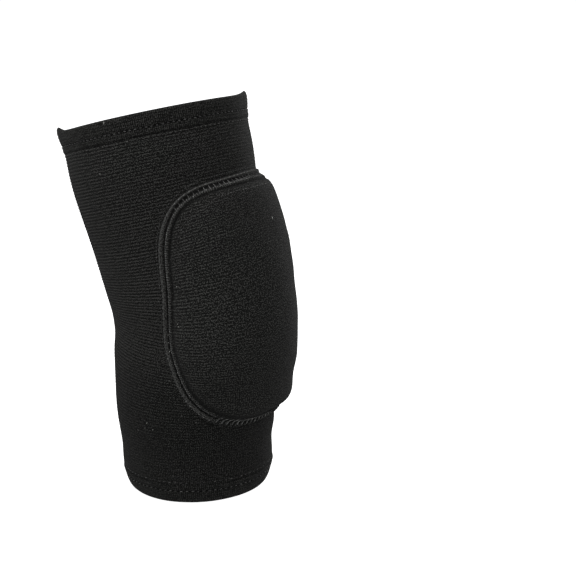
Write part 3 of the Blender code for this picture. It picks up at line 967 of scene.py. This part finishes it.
def fabric(name, dark, bright, rib, wale, relief, specks=0.5, wales=(0.34, 10.0, 80.0)):
    """Knit whose colour has painted shade between its yarns and a painted highlight on their crowns, and is brightest
    on loose fibres. rib is in metres, and wale and wales are in millimetres of cloth."""
    material, tree = new_material(name)
    place = node(tree, "ShaderNodeUVMap", uv_map="cloth").outputs["UV"]
    crest = node(tree, "ShaderNodeAttribute", attribute_name="crest").outputs["Fac"]
    inputs = {"Cloth": place, "Crest": crest, "Rib Pitch": rib * 1000, "Wale Pitch": wale, "Specks": specks}
    inputs.update(zip(("Wales", "Wales Full", "Wales None"), wales))
    yarn = node(tree, "ShaderNodeGroup", node_tree=knit_group)
    for key, value in inputs.items():
        feed(tree, yarn.inputs[key], value)
    shade = yarn.outputs["Shade"]
    colour = mixed(tree, yarn.outputs["Fibres"], mixed(tree, shade, dark, bright), (0.16, 0.16, 0.155))
    finish_surface(tree, Base_Color=colour, Roughness=ramp(tree, shade, 0.0, 1.0, 0.95, 0.80),
                   Normal=bump(tree, yarn.outputs["Height"], relief, 0.9),
                   Specular_IOR_Level=0.10, Sheen_Weight=0.035, Sheen_Roughness=0.5)
    return material


def thread_material(name, dark, light):
    """Sewing thread with a twist and uneven brightness."""
    material, tree = new_material(name)
    thread = node(tree, "ShaderNodeGroup", node_tree=twist_group)
    tree.links.new(node(tree, "ShaderNodeTexCoord").outputs["Object"], thread.inputs["Place"])
    colour = mixed(tree, ramp(tree, thread.outputs["Patches"], 0.36, 0.70), dark, light)
    twist = thread.outputs["Twist"]
    finish_surface(tree, Base_Color=colour, Roughness=ramp(tree, twist, 0.3, 0.7, 0.70, 0.45),
                   Normal=bump(tree, twist, 0.00008, 0.6),
                   Specular_IOR_Level=0.4, Sheen_Weight=0.3, Sheen_Roughness=0.4)
    return material


def foam_material():
    """Fine open cells, with painted shade in their hollows and lighter walls."""
    material, tree = new_material("foam_cells")
    place = node(tree, "ShaderNodeTexCoord").outputs["Object"]
    cells = node(tree, "ShaderNodeTexVoronoi", {"Vector": place, "Scale": 900.0}, feature="DISTANCE_TO_EDGE")
    wall = ramp(tree, cells.outputs["Distance"], 0.0, 0.25)
    finish_surface(tree, Base_Color=mixed(tree, wall, (0.09, 0.09, 0.095), (0.03, 0.03, 0.033)), Roughness=0.95,
                   Normal=bump(tree, wall, 0.0003, invert=True))
    return material


def finish_piece(piece, material, slot, *nodes):
    """Gives a piece its material and its body, and hides the CAD nodes that it stands for. slot is not used."""
    piece.data.materials.clear()
    piece.data.materials.append(material)
    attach(piece, "root")
    if nodes:
        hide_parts(*nodes)
    return piece


# ---- light and camera

def area_light(name, place, aim, size, power):
    """Softbox at a place, turned to its aim."""
    data = bpy.data.lights.new(name, "AREA")
    data.shape = "RECTANGLE"
    data.size, data.size_y = size
    data.energy = power
    lamp = bpy.data.objects.new(name, data)
    lamp.location = place
    lamp.rotation_mode = "QUATERNION"
    lamp.rotation_quaternion = (Vector(aim) - Vector(place)).to_track_quat("-Z", "Y")
    bpy.context.scene.collection.objects.link(lamp)


CAMERA_AZIMUTH = -56.0
CAMERA_ELEVATION = 15.01
CAMERA_DISTANCE = 0.6125
CAMERA_LENS = 68.02
CAMERA_SHIFT = (0.1731, 0.0216)


def by_camera(azimuth, elevation, distance):
    """Place at an azimuth from the camera's side (0 at the camera, 90 at its right)."""
    turn, up = math.radians(CAMERA_AZIMUTH + azimuth), math.radians(elevation)
    return (math.sin(turn) * math.cos(up) * distance, -math.cos(turn) * math.cos(up) * distance,
            math.sin(up) * distance)


def build_camera():
    """Camera on the middle of the part, its picture shifted to the photo's framing."""
    data = bpy.data.cameras.new("camera")
    data.lens = CAMERA_LENS
    data.sensor_width = 36.0
    data.shift_x, data.shift_y = CAMERA_SHIFT
    data.clip_start, data.clip_end = 0.01, 20.0
    camera = bpy.data.objects.new("camera", data)
    camera.location = by_camera(0.0, CAMERA_ELEVATION, CAMERA_DISTANCE)
    camera.rotation_mode = "QUATERNION"
    camera.rotation_quaternion = (-Vector(camera.location)).to_track_quat("-Z", "Y")
    bpy.context.scene.collection.objects.link(camera)
    bpy.context.scene.camera = camera


def build_world():
    """White surroundings: full white to the camera, softer as a light."""
    world = bpy.data.worlds.new("white_room")
    bpy.context.scene.world = world
    world.use_nodes = True
    tree = world.node_tree
    back = tree.nodes["Background"]
    split = node(tree, "ShaderNodeSeparateXYZ", {"Vector": node(tree, "ShaderNodeTexCoord").outputs["Generated"]})
    white = node(tree, "ShaderNodeMix", data_type="FLOAT")
    for place, value in ((0, node(tree, "ShaderNodeLightPath").outputs["Is Camera Ray"]),
                         (2, ramp(tree, split.outputs["Z"], -0.7, 0.9, 0.24, 0.50)), (3, 1.05)):
        feed(tree, white.inputs[place], value)
    feed(tree, back.inputs["Color"], (1.0, 1.0, 1.0, 1.0))
    feed(tree, back.inputs["Strength"], white.outputs[0])


def build_floor():
    """Pale floor just under the lower rim."""
    mesh = bpy.data.meshes.new("floor")
    size, low = 3.0, cad_box[0][2] - 0.0005
    mesh.from_pydata([(-size, -size, low), (size, -size, low), (size, size, low), (-size, size, low)], [],
                     [(0, 1, 2, 3)])
    floor = bpy.data.objects.new("floor", mesh)
    bpy.context.scene.collection.objects.link(floor)
    material, tree = new_material("floor_white")
    finish_surface(tree, Base_Color=(0.8, 0.8, 0.8, 1.0), Roughness=0.9, Emission_Color=(1.0, 1.0, 1.0, 1.0),
                   Emission_Strength=1.0)
    mesh.materials.append(material)
    floor.visible_diffuse = False
    floor.visible_glossy = False


# ---- the object

pad_collection = bpy.data.collections.new("elbow_pad_cloth")
bpy.context.scene.collection.children.link(pad_collection)

knit_group = build_knit_group()
twist_group = build_twist_group()
sleeve_knit = fabric("sleeve_ribbed_knit", (0.0028, 0.0029, 0.0026), (0.0455, 0.0458, 0.0432), RIB_PITCH, 1.05,
                     0.00018)
hem_knit = fabric("hem_ribbed_knit", (0.0024, 0.0025, 0.0022), (0.0420, 0.0423, 0.0398), HEM_RIB_PITCH, 1.05,
                  0.00016, 0.3)
pad_knit = fabric("pad_fine_knit", (0.0044, 0.0045, 0.0042), (0.0510, 0.0513, 0.0485), PAD_RIB_PITCH, 0.95,
                  0.00016, 0.3, wales=(0.14, -50.0, -12.0))
band_knit = fabric("seam_cord_knit", (0.0060, 0.0061, 0.0058), (0.0660, 0.0663, 0.0635), BEAD_PITCH, 0.7,
                   0.00010, 0.8)
seam_thread = thread_material("seam_thread_grey", (0.045, 0.045, 0.044), (0.190, 0.190, 0.184))
hem_thread = thread_material("hem_thread_grey", (0.012, 0.012, 0.012), (0.075, 0.075, 0.072))
lint_pale = thread_material("lint_pale", (0.16, 0.16, 0.15), (0.40, 0.40, 0.38))

sleeve = finish_piece(build_sleeve(), sleeve_knit, "sleeve_knit", "sleeve")
top_hem = finish_piece(build_hem("top_hem_band", 1.0, 1), hem_knit, "top_hem_knit", "top_hem")
bottom_hem = finish_piece(build_hem("bottom_hem_band", 0.0, -1), hem_knit, "bottom_hem_knit", "bottom_hem")
top_stitches = finish_piece(build_hem_stitches("top_hem_stitches", 1.0, 1), hem_thread, "top_hem_knit")
bottom_stitches = finish_piece(build_hem_stitches("bottom_hem_stitches", 0.0, -1), hem_thread, "bottom_hem_knit")
cover = finish_piece(build_cover(), pad_knit, "cover_knit", "pad_cover")
foam = finish_piece(build_foam(), foam_material(), "foam", "foam_pad")
finish_piece(build_seam(), band_knit, "seam_thread", "pad_seam")
finish_piece(build_seam_threads(), seam_thread, "seam_thread")
finish_piece(build_needle_line(), hem_thread, "seam_thread")
finish_piece(build_lint(), lint_pale, "seam_thread")

build_world()
build_floor()
build_camera()
area_light("key_left", by_camera(-60, 46, 0.5), (0, 0, 0.05), (0.22, 0.25), 0.85)
area_light("rim_right", by_camera(142, 20, 0.9), (0, 0, 0), (0.30, 0.8), 1.9)
area_light("front_fill", by_camera(8, 26, 0.7), (0, 0, 0.0), (0.35, 0.35), 1.6)

bpy.context.scene.view_settings.view_transform = "Standard"
